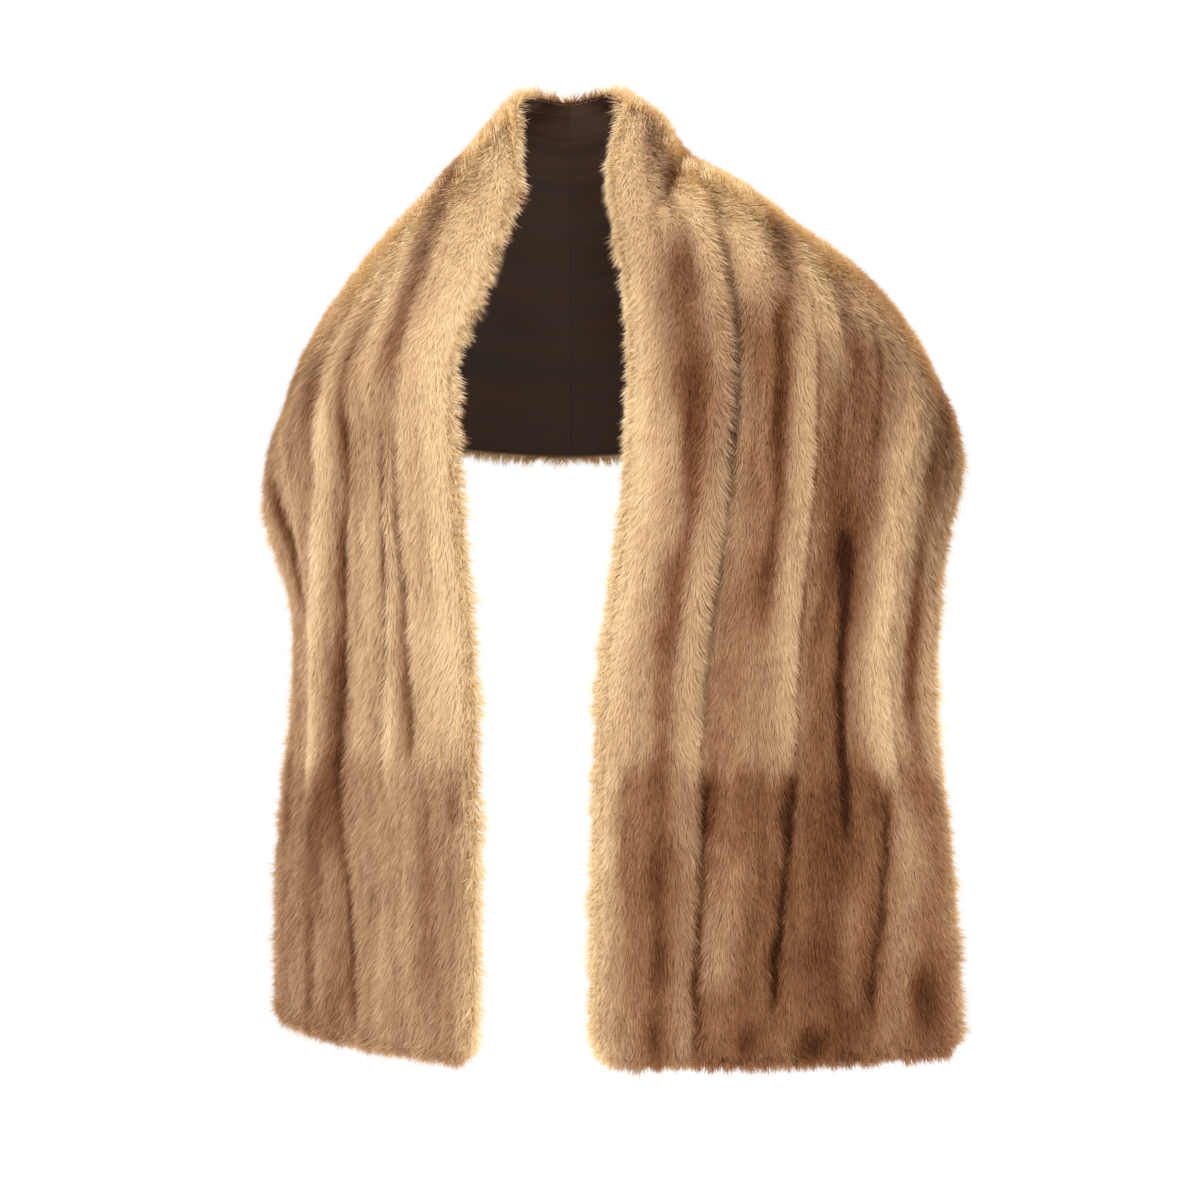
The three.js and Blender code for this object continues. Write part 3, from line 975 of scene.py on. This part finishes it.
@dataclass
class Spot:
    """Points of the pelt in metres, with unit directions outwards, along towards the hem, and across."""

    points: np.ndarray
    out: np.ndarray
    down: np.ndarray
    across: np.ndarray


def over_edge(u: np.ndarray, v: np.ndarray, off: float) -> Spot:
    """Finds points of the pelt, which rolls over where u and v pass the free edges.

    Args:
        u: Lengths from the centre back.
        v: Widths from the neck edge.
        off: Millimetres out from the lining's inner face, away from the edges.

    Returns:
        The points and their directions.
    """
    past_u, past_v = past_edges(u, v)
    u_in, v_in, way = rounded(u - past_u, v - past_v)
    share = v_in / CUT.width
    length, across, out = DRAPE.axes(u_in, share)
    length = unit(length)
    across = unit(across)
    width_step = 1.0 / CUT.width
    slope_u = (streaks(FOLDS, u_in + 1.0, share) - streaks(FOLDS, u_in - 1.0, share)) / 2.0
    slope_v = (streaks(FOLDS, u_in, share + width_step) - streaks(FOLDS, u_in, share - width_step)) / 2.0
    folded = unit(out - length * slope_u[:, None] - across * slope_v[:, None])
    away = np.hypot(past_u, past_v)
    straight = np.stack([past_u, past_v]) / np.maximum(away, TINY)
    way = np.where(np.abs(way).sum(axis=0) > 0, way, straight)
    outward = unit(length * way[0][:, None] + across * way[1][:, None])
    angle = (away / RIM.radius)[:, None]
    rise = streaks(FOLDS, u_in, share) + off - RIM.radius
    middle = DRAPE.form(u_in, share) + out * rise[:, None] - DRAPE.origin
    facing = unit(folded * np.cos(angle) + outward * np.sin(angle))
    onward = outward * np.cos(angle) - folded * np.sin(angle)

    def rolled(direction: np.ndarray) -> np.ndarray:
        """Returns a direction in the cloth, turned with the roll."""
        part = (direction * outward).sum(axis=1, keepdims=True)
        return direction + part * (onward - outward)

    down = rolled(length * np.sign(u)[:, None])
    return Spot((middle + facing * RIM.radius) * MM, facing, down, rolled(across))


@dataclass(frozen=True)
class Pile:
    """The guard hairs, in millimetres and degrees."""

    # How far apart their roots are, and by how much the form is stretched where no cell goes without
    spacing: float = 0.87
    rim_spacing: float = 0.72
    roll_spacing: float = 0.38
    full_area: float = 1.15
    # Their size, its uneven part as a share, and how much shorter they are at the rim
    long: float = 14.5
    wide: float = 0.9
    shortest: float = 0.78
    longest: float = 1.15
    tuft_long: float = 0.14
    rim_uneven: float = 0.2
    rim_short: float = 0.1
    wide_play: float = 0.3
    root_off: float = 4.5
    # How they rise from the skin
    lift: float = 30.0
    lift_play: float = 6.0
    hair_lift: float = 6.0
    rim_lift: float = 48.0
    # The zone along the free edges, and how much more uneven they are there
    rim_zone: float = 17.0
    rim_play: float = 1.6
    rim_splay: float = 0.7
    # How they gather in tufts
    tuft: float = 8.0
    tuft_lift: float = 4.0
    tufted: float = 0.2
    rim_tufted: float = 0.5
    # How they sway and twist, singly and in locks, and how many lie crosswise at the centre back
    twist: float = 17.0
    sway: float = 13.0
    lock_sway: float = 10.0
    hair_sway: float = 10.0
    crossing: float = 14.0
    crossed: float = 0.5
    tone_play: float = 0.06


PILE = Pile()


class Comb:
    """Lays the hairs: where each is rooted and which way it lies."""

    WAVES = Clumps(60.0, 24.0, 21)
    LOCKS = Clumps(18.0, 7.0, 22)
    RISES = Clumps(14.0, 6.0, 23)
    TUFTS = Clumps(7.0, 6.0, 24)
    # How far the middles of the tufts are out of place, as shares of a tuft
    OFF = 0.35
    MIDDLES = np.random.default_rng(25).uniform(-OFF, OFF, (2, NOISE_CELLS, NOISE_CELLS))

    def __init__(self, seed: int) -> None:
        """Starts the hairs' own random play.

        Args:
            seed: The number that it starts from.
        """
        self.chance = np.random.default_rng(seed)

    def roots(self, u: Range, v: Range, free: tuple[bool, bool, bool]) -> np.ndarray:
        """Spreads the roots over a skin.

        Args:
            u: Lengths from the centre back, from and to.
            v: Widths from the neck edge, from and to.
            free: Whether the hem, the border towards the neck and the outer border are free edges.

        Returns:
            Rows of u and v, some of them past the free edges, where the skin rolls over.
        """
        sign = 1 if u[1] > 0 else -1
        hem = sign * (CUT.half_length - RIM.inset)
        body_u = (min(u, key=abs), hem if free[0] else max(u, key=abs))
        body_v = (v[0] + RIM.inset * free[1], v[1] - RIM.inset * free[2])
        found = [self.scatter((*body_u, PILE.spacing), (*body_v, PILE.spacing))]
        if free[0]:
            roll = (hem, hem + sign * RIM.reach, PILE.roll_spacing)
            found.append(self.scatter(roll, (*body_v, PILE.rim_spacing)))
        for is_free, low in ((free[1], body_v[0] - RIM.reach), (free[2], body_v[1])):
            if is_free:
                roll = (low, low + RIM.reach, PILE.roll_spacing)
                found.append(self.scatter((*body_u, PILE.rim_spacing), roll))
        return np.concatenate(found)

    def scatter(self, u: tuple[float, float, float], v: tuple[float, float, float]) -> np.ndarray:
        """Puts one point at a random place in each cell of a grid, and thins them where the form crowds them.

        Args:
            u: Lengths from the centre back: from, to, and a cell's length.
            v: Widths from the neck edge: from, to, and a cell's width.

        Returns:
            Rows of u and v.
        """
        count_u = steps(*sorted(u[:2]), u[2])
        count_v = steps(*sorted(v[:2]), v[2])
        i, j = np.meshgrid(np.arange(count_u), np.arange(count_v), indexing="ij")
        at = np.stack([i.ravel(), j.ravel()], axis=1) + self.chance.uniform(0.0, 1.0, (i.size, 2))
        u_at = u[0] + (u[1] - u[0]) * at[:, 0] / count_u
        v_at = v[0] + (v[1] - v[0]) * at[:, 1] / count_v
        length, across, _ = DRAPE.axes(u_at, np.clip(v_at / CUT.width, 0.0, 1.0))
        area = np.linalg.norm(np.cross(length, across), axis=1)
        kept = self.chance.uniform(0.0, 1.0, len(u_at)) < area / PILE.full_area
        return np.stack([u_at[kept], v_at[kept]], axis=1)

    def to_tuft(self, u: np.ndarray, v: np.ndarray) -> np.ndarray:
        """Finds the middles of tufts that lie as bricks do, each a little out of place.

        Args:
            u: The roots' lengths from the centre back.
            v: Their widths from the neck edge.

        Returns:
            The ways from the roots to the middles of their tufts, along and across, in millimetres.
        """
        row = np.floor(v / PILE.tuft).astype(int)
        shift = 0.5 * (row % 2)
        place = np.floor(u / PILE.tuft - shift).astype(int)
        size = len(self.MIDDLES[0])
        off_u, off_v = self.MIDDLES[:, place % size, row % size]
        middle_u = (place + shift + 0.5 + off_u) * PILE.tuft
        middle_v = (row + 0.5 + off_v) * PILE.tuft
        return np.stack([middle_u - u, middle_v - v])

    def normal(self, count: int, spread: float) -> np.ndarray:
        """Returns so many random numbers about 0, with a usual size of spread."""
        return self.chance.normal(0.0, spread, count)

    def lay(self, roots: np.ndarray) -> Named:
        """Works out each hair's place, directions, size and colour.

        Args:
            roots: Rows of u and v.

        Returns:
            Named attributes as (type, values): place, lie, face, size and tone.
        """
        u, v = roots[:, 0], roots[:, 1]
        count = len(u)
        share = v / CUT.width
        spot = over_edge(u, v, PILE.root_off)
        out = spot.out
        to_side = np.minimum(v - RIM.inset, CUT.width - RIM.inset - v)
        to_hem = CUT.half_length - RIM.inset - np.abs(u)
        rim = 1.0 - smooth(np.minimum(to_side, to_hem) / PILE.rim_zone)
        side_of = np.where(v < CUT.width / 2, -1.0, 1.0)
        play = 1.0 + PILE.rim_play * rim
        tufted = PILE.tufted + streaks(TUFTED, u, share) + PILE.rim_tufted * rim

        sway = PILE.lock_sway * self.LOCKS(u, v) + self.normal(count, PILE.hair_sway)
        sway = np.radians(PILE.sway * self.WAVES(u, v) + play * sway)
        by_side = 1.0 - smooth(to_side / (2.0 * PILE.rim_zone))
        sideways = np.sin(sway) + PILE.rim_splay * side_of * by_side + streaks(LEANS, u, share)
        at_back = PILE.crossed * np.maximum(1.0 - np.abs(u) / PILE.crossing, 0.0)
        turned = self.chance.uniform(0.0, 1.0, count) < at_back + streaks(RUFFLES, u, share)
        downward = np.cos(sway) * np.where(turned, -1.0, 1.0)
        flow = unit(spot.down * downward[:, None] + spot.across * sideways[:, None])

        lift = PILE.lift + PILE.tuft_lift * tufted
        lift += play * (PILE.lift_play * self.RISES(u, v) + self.normal(count, PILE.hair_lift))
        lift = np.radians(lift + (PILE.rim_lift - PILE.lift) * rim)[:, None]
        pull_u, pull_v = self.to_tuft(u, v) * tufted / PILE.long
        pull = spot.down * (np.sign(u) * pull_u)[:, None] + spot.across * pull_v[:, None]
        lie = unit(flow * np.cos(lift) + out * np.sin(lift) + pull)
        face = out * np.cos(lift) - flow * np.sin(lift)
        twist = np.radians(self.normal(count, PILE.twist))[:, None]
        face = face * np.cos(twist) + np.cross(lie, face) * np.sin(twist)

        uneven = self.chance.uniform(PILE.shortest - PILE.rim_uneven * rim, PILE.longest)
        uneven += PILE.tuft_long * play * self.TUFTS(u, v)
        long = PILE.long * uneven * (1.0 - PILE.rim_short * rim)
        wide = PILE.wide * self.chance.uniform(1.0 - PILE.wide_play, 1.0 + PILE.wide_play, count)
        size = np.stack([wide, long, long], axis=1) * MM
        tone = TONE(u, v) + self.normal(count, PILE.tone_play)
        return {
            "place": ("FLOAT_VECTOR", spot.points),
            "lie": ("FLOAT_VECTOR", lie),
            "face": ("FLOAT_VECTOR", face),
            "size": ("FLOAT_VECTOR", size),
            "tone": ("FLOAT", np.clip(tone, 0.0, 1.0)),
        }


class Furrier:
    """Sets hairs on skins: the hair itself, and the nodes that plant it."""

    # On the map for baking, the bare strip round it and half a hair's width
    MARGIN = 0.02
    HALF_WIDTH = 0.008

    def __init__(self, hair_material: bpy.types.Material) -> None:
        """Models one hair and builds the planting nodes.

        Args:
            hair_material: What the hairs wear.
        """
        self.material = hair_material
        self.hair = self.model_hair()
        self.nodes = self.planting()

    def model_hair(self) -> bpy.types.Object:
        """Models the pattern of all hairs, of unit length up Z and facing Y.

        Returns:
            One blade that narrows to the tip.
        """
        bm = bmesh.new()
        corners = [bm.verts.new(co) for co in ((-0.5, 0, 0), (0, 0, 1), (0.5, 0, 0))]
        bmesh.ops.contextual_create(bm, geom=corners)
        for face in bm.faces:
            if face.normal.y < 0:
                face.normal_flip()
        mesh = bpy.data.meshes.new("hair")
        bm.to_mesh(mesh)
        bm.free()
        made = coordinates(mesh)
        note(mesh, "tip", "FLOAT", made[:, 2])
        note(mesh, "edge", "FLOAT", made[:, 0])
        return link("hair", mesh)

    def planting(self) -> bpy.types.NodeTree:
        """Builds the nodes that put a hair on each point, turned and sized by its attributes.

        Returns:
            The node group.
        """
        tree = bpy.data.node_groups.new("planting", "GeometryNodeTree")
        tree.interface.new_socket("Geometry", in_out="INPUT", socket_type="NodeSocketGeometry")
        tree.interface.new_socket("Geometry", in_out="OUTPUT", socket_type="NodeSocketGeometry")
        source = tree.nodes.new("NodeGroupInput")
        result = tree.nodes.new("NodeGroupOutput")
        hair = tree.nodes.new("GeometryNodeObjectInfo")
        hair.inputs["Object"].default_value = self.hair
        plant = tree.nodes.new("GeometryNodeInstanceOnPoints")
        turn = tree.nodes.new("FunctionNodeAxesToRotation")
        turn.primary_axis = "Z"
        turn.secondary_axis = "Y"
        realize = tree.nodes.new("GeometryNodeRealizeInstances")

        def named(name: str) -> bpy.types.NodeSocket:
            """Adds the reading of an attribute.

            Args:
                name: The attribute's name.

            Returns:
                Its vector at each point.
            """
            node = tree.nodes.new("GeometryNodeInputNamedAttribute")
            node.data_type = "FLOAT_VECTOR"
            node.inputs["Name"].default_value = name
            return node.outputs["Attribute"]

        for output, target in (
            (named("lie"), turn.inputs["Primary Axis"]),
            (named("face"), turn.inputs["Secondary Axis"]),
            (source.outputs[0], plant.inputs["Points"]),
            (hair.outputs["Geometry"], plant.inputs["Instance"]),
            (turn.outputs["Rotation"], plant.inputs["Rotation"]),
            (named("size"), plant.inputs["Scale"]),
            (plant.outputs["Instances"], realize.inputs["Geometry"]),
            (realize.outputs["Geometry"], result.inputs[0]),
        ):
            tree.links.new(output, target)
        return tree

    def plant(self, name: str, laid_hairs: Named) -> bpy.types.Object:
        """Grows the pile of one skin.

        Args:
            name: The new piece's name.
            laid_hairs: The hairs' attributes, from Comb.lay.

        Returns:
            The pile as one mesh.
        """
        points = bpy.data.meshes.new(name + "_points")
        places = laid_hairs["place"][1]
        points.vertices.add(len(places))
        points.vertices.foreach_set("co", places.astype(np.float32).ravel())
        for key in ("lie", "face", "size", "tone"):
            note(points, key, *laid_hairs[key])
        bed = link(name + "_bed", points)
        modifier = bed.modifiers.new("planting", "NODES")
        modifier.node_group = self.nodes
        graph = bpy.context.evaluated_depsgraph_get()
        mesh = bpy.data.meshes.new_from_object(bed.evaluated_get(graph))
        bpy.data.objects.remove(bed)
        mesh.name = name
        for extra in ("lie", "face", "size"):
            if extra in mesh.attributes:
                mesh.attributes.remove(mesh.attributes[extra])
        self.map_colours(mesh)
        mesh.materials.clear()
        return link(name, mesh, self.material)

    def map_colours(self, mesh: bpy.types.Mesh) -> None:
        """Gives the pile a map for baking its colours: tone from left to right, root to tip upwards.

        Args:
            mesh: The pile.
        """
        corners = np.empty(len(mesh.loops), np.int32)
        mesh.loops.foreach_get("vertex_index", corners)

        def values(name: str) -> np.ndarray:
            """Reads an attribute of the points.

            Args:
                name: Its name.

            Returns:
                Its value at each corner of each face.
            """
            found = np.empty(len(mesh.vertices), np.float32)
            mesh.attributes[name].data.foreach_get("value", found)
            return found[corners]

        inside = 1 - 2 * self.MARGIN
        across = self.MARGIN + inside * values("tone") + self.HALF_WIDTH * values("edge")
        up = self.MARGIN + inside * values("tip")
        layer = mesh.uv_layers.new(name="OFBake")
        layer.uv.foreach_set("vector", np.stack([across, up], axis=1).astype(np.float32).ravel())
        mesh.attributes.remove(mesh.attributes["edge"])

    def finish(self) -> None:
        """Removes the pattern hair."""
        bpy.data.objects.remove(self.hair)


@dataclass
class Pelt:
    """One skin with its pile: a row of the body, or the end skin that closes it at the hem."""

    side: Side
    stretch: Stretch
    row: int
    skin_cell: float = 9.0
    skin_thick: float = 1.6
    # Painted shade on the last part of each flap, where the skin turns in under the lining
    turned_shade: float = 0.6
    turned_part: float = 1 / 3

    @property
    def node(self) -> str:
        """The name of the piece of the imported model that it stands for."""
        return f"{self.stretch.value}_{self.side.value}_{self.row}"

    @property
    def slot(self) -> str:
        """Returns the name of its finish: brown fur for an end skin, blond fur for a row."""
        return "brown_fur" if self.stretch is Stretch.END else "blond_fur"

    def range_u(self) -> Range:
        """Finds where it starts and ends, seen from the back.

        Returns:
            Two lengths from the centre back.
        """
        turn = CUT.half_length - CUT.end_depth
        near, far = (turn, CUT.half_length) if self.stretch is Stretch.END else (0.0, turn)
        return self.side.sign * near, self.side.sign * far

    def range_v(self) -> Range:
        """Returns its widths from the neck edge."""
        return CUT.row_breaks[self.row - 1] * CUT.width, CUT.row_breaks[self.row] * CUT.width

    def free(self) -> tuple[bool, bool, bool]:
        """Returns whether its hem, its border towards the neck and its outer border are free."""
        return self.stretch is Stretch.END, self.row == 1, self.row == len(CUT.row_breaks) - 1

    def leather(self) -> tuple[Range, Range]:
        """Measures the skin itself, which at a free edge stops short of the pile's reach.

        Returns:
            Its lengths from the centre back and its widths from the neck edge, each from and to.
        """
        hem, inner, outer = self.free()
        near, far = self.range_u()
        u = sorted((near, far - self.side.sign * RIM.inset * hem))
        v_from, v_to = self.range_v()
        return (u[0], u[1]), (v_from + RIM.inset * inner, v_to - RIM.inset * outer)

    def skin(self, material: bpy.types.Material) -> bpy.types.Object:
        """Builds the skin with its underfur, inside the pile.

        Args:
            material: The underfur.

        Returns:
            The skin.
        """
        (u_from, u_to), (v_from, v_to) = self.leather()
        hem, inner, outer = self.free()
        on_left = self.side is Side.LEFT
        u = (u_from - RIM.flap * (hem and on_left), u_to + RIM.flap * (hem and not on_left))
        v = (v_from - RIM.flap * inner, v_to + RIM.flap * outer)
        spare = 1.0 - RIM.reach / RIM.flap

        def where(u_at: np.ndarray, v_at: np.ndarray) -> np.ndarray:
            """Returns the skin's outer face, whose flaps roll over the free edges."""
            past_u, past_v = past_edges(u_at, v_at)
            return over_edge(u_at - spare * past_u, v_at - spare * past_v, PILE.root_off).points

        bm = grid(u, v, (steps(*u, self.skin_cell), steps(*v, self.skin_cell)))
        middles = np.array([face.calc_center_median()[:2] for face in bm.faces])
        past_u, past_v = past_edges(middles[:, 0], middles[:, 1])
        doubled = [face for face, over in zip(bm.faces, (past_u != 0) & (past_v != 0)) if over]
        bmesh.ops.delete(bm, geom=doubled, context="FACES")
        flat = np.array([vert.co[:2] for vert in bm.verts])
        mesh = laid(bm, self.node + "_skin", where)
        thicken(mesh, self.skin_thick * MM)
        past_u, past_v = past_edges(flat[:, 0], flat[:, 1])
        tone = TONE(flat[:, 0], flat[:, 1] - past_v * spare)
        # Painted shade: the flap's turned-in end is darker
        left_over = 1.0 - np.hypot(past_u, past_v) / RIM.flap
        tone += self.turned_shade * smooth(1.0 - left_over / self.turned_part)
        note(mesh, "tone", "FLOAT", np.clip(np.resize(tone, len(mesh.vertices)), 0.0, 1.0))
        return link(self.node + "_skin", mesh, material)

    def seed(self) -> int:
        """Returns the number that its hairs' random play starts from."""
        return 100 * self.row + 10 * (self.side is Side.LEFT) + (self.stretch is Stretch.END)

    def build(self, furrier: Furrier, underfur: bpy.types.Material) -> None:
        """Makes the skin and its pile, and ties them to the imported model.

        Args:
            furrier: Who plants the pile.
            underfur: What the skin wears.
        """
        skin = self.skin(underfur)
        comb = Comb(self.seed())
        roots = comb.roots(self.range_u(), self.range_v(), self.free())
        pile = furrier.plant(self.node + "_pile", comb.lay(roots))
        for piece in (skin, pile):
            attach(piece, "root")
        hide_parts(self.node)
        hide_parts(self.node)
        u, v = self.leather()
        log.info("%s: %d hairs, %d triangles", self.node, len(roots), len(pile.data.polygons))


@dataclass
class Lining:
    """One half of the satin lining."""

    side: Side
    cell: float = 12.0
    inset: float = 8.5
    ramp: float = 60.0
    PUCKERS = Clumps(260.0, 34.0, 31)
    PUCKER_DEPTH = 6.0

    def where(self, u: np.ndarray, v: np.ndarray) -> np.ndarray:
        """Lays the satin's inner face, which stands off in soft folds away from its edges.

        Args:
            u: Lengths from the centre back.
            v: Widths from the neck edge.

        Returns:
            The points in the model's frame, in metres.
        """
        to_edge = np.minimum(np.minimum(v, CUT.width - v), CUT.half_length - np.abs(u))
        depth = self.PUCKER_DEPTH * smooth((to_edge - self.inset) / self.ramp)
        u_in, v_in, _ = rounded(u, v)
        return DRAPE.lining(u_in, v_in, -depth * (0.5 + 0.5 * self.PUCKERS(u, v)))

    def build(self, satin: bpy.types.Material) -> None:
        """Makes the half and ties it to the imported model.

        Args:
            satin: What it wears.
        """
        u = sorted((0.0, self.side.sign * (CUT.half_length - self.inset)))
        v = (self.inset, CUT.width - self.inset)
        bm = grid(tuple(u), v, (steps(*u, self.cell), steps(*v, self.cell)))
        layer = bm.loops.layers.uv["cloth"]
        for face in bm.faces:
            for loop in face.loops:
                loop[layer].uv = (loop.vert.co.x * MM, loop.vert.co.y * MM)
        name = f"lining_{self.side.value}_satin"
        mesh = laid(bm, name, self.where)
        thicken(mesh, -CUT.lining_thick * MM)
        piece = link(name, mesh, satin)
        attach(piece, "root")
        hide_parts(f"lining_{self.side.value}")
        log.info("%s: %d faces", name, len(mesh.polygons))


@dataclass(frozen=True)
class SoftBox:
    """A square soft light, in metres and watts, that points at the stole's middle."""

    name: str
    place: tuple[float, float, float]
    size: float
    power: float
    aim: tuple[float, float, float] = (0.03, -0.05, -0.42)

    def hang(self) -> None:
        """Adds the light to the scene."""
        data = bpy.data.lights.new(self.name, "AREA")
        data.shape = "SQUARE"
        data.size = self.size
        data.energy = self.power
        light = bpy.data.objects.new(self.name, data)
        light.location = self.place
        way = np.array(self.aim) - np.array(self.place)
        pitch = math.atan2(math.hypot(way[0], way[1]), -way[2])
        light.rotation_euler = (pitch, 0.0, math.atan2(way[1], way[0]) - math.pi / 2)
        bpy.context.scene.collection.objects.link(light)


@dataclass(frozen=True)
class Studio:
    """A plain pale floor, soft light and the camera."""

    eye: tuple[float, float, float] = (0.031, -3.1977, -0.4695)
    lens: float = 92.8
    sight: float = 60.0
    floor_z: float = -1.5
    floor_half: float = 4.0
    floor_rough: float = 0.8
    pale: Colour = (0.96, 0.96, 0.96)
    white: Colour = (1.0, 1.0, 1.0)
    sky: float = 1.0
    boxes: tuple[SoftBox, ...] = (
        SoftBox("key", (-1.9, -2.4, 1.5), 1.4, 47.0),
        SoftBox("fill", (2.1, -2.2, 0.7), 1.8, 16.0),
        SoftBox("back", (0.6, 2.2, 1.9), 1.6, 14.0),
        SoftBox("top", (0.2, -0.9, 2.4), 1.8, 24.0),
    )

    def camera(self) -> None:
        """Sets up the camera, level, at the height of the stole's middle."""
        data = bpy.data.cameras.new("camera")
        data.lens = self.lens
        data.clip_end = self.sight
        camera = bpy.data.objects.new("camera", data)
        camera.location = self.eye
        camera.rotation_euler = (math.radians(90), 0.0, 0.0)
        bpy.context.scene.collection.objects.link(camera)
        bpy.context.scene.camera = camera

    def floor(self) -> None:
        """Lays the floor."""
        bm = bmesh.new()
        bmesh.ops.create_grid(bm, x_segments=1, y_segments=1, size=self.floor_half)
        bmesh.ops.translate(bm, verts=bm.verts, vec=(0.0, 0.0, self.floor_z))
        mesh = bpy.data.meshes.new("floor")
        bm.to_mesh(mesh)
        bm.free()
        s = Shader("pale_floor")
        s.feed(s.surface, {"Base Color": (*self.pale, 1.0), "Roughness": self.floor_rough})
        link("floor", mesh, s.material)

    def light(self) -> None:
        """Sets up the world's light and the soft lights."""
        world = bpy.data.worlds.new("studio")
        world.use_nodes = True
        background = world.node_tree.nodes["Background"]
        background.inputs["Color"].default_value = (*self.white, 1.0)
        background.inputs["Strength"].default_value = self.sky
        bpy.context.scene.world = world
        for box in self.boxes:
            box.hang()

    def build(self) -> None:
        """Sets up the whole studio."""
        self.camera()
        self.floor()
        self.light()
        bpy.context.scene.view_settings.view_transform = "Standard"


def main() -> None:
    """Builds the studio, the lining and the pelts."""
    logging.basicConfig(level=logging.INFO, format="%(message)s")
    Studio().build()
    mink = MinkFinish()
    satin = SatinFinish().material()
    underfur = mink.underfur()
    for side in Side:
        Lining(side).build(satin)
    furrier = Furrier(mink.hair())
    for side in Side:
        for stretch in Stretch:
            for row in range(1, len(CUT.row_breaks)):
                Pelt(side, stretch, row).build(furrier, underfur)
    furrier.finish()
    bpy.context.view_layer.update()


if __name__ == "__main__":
    main()
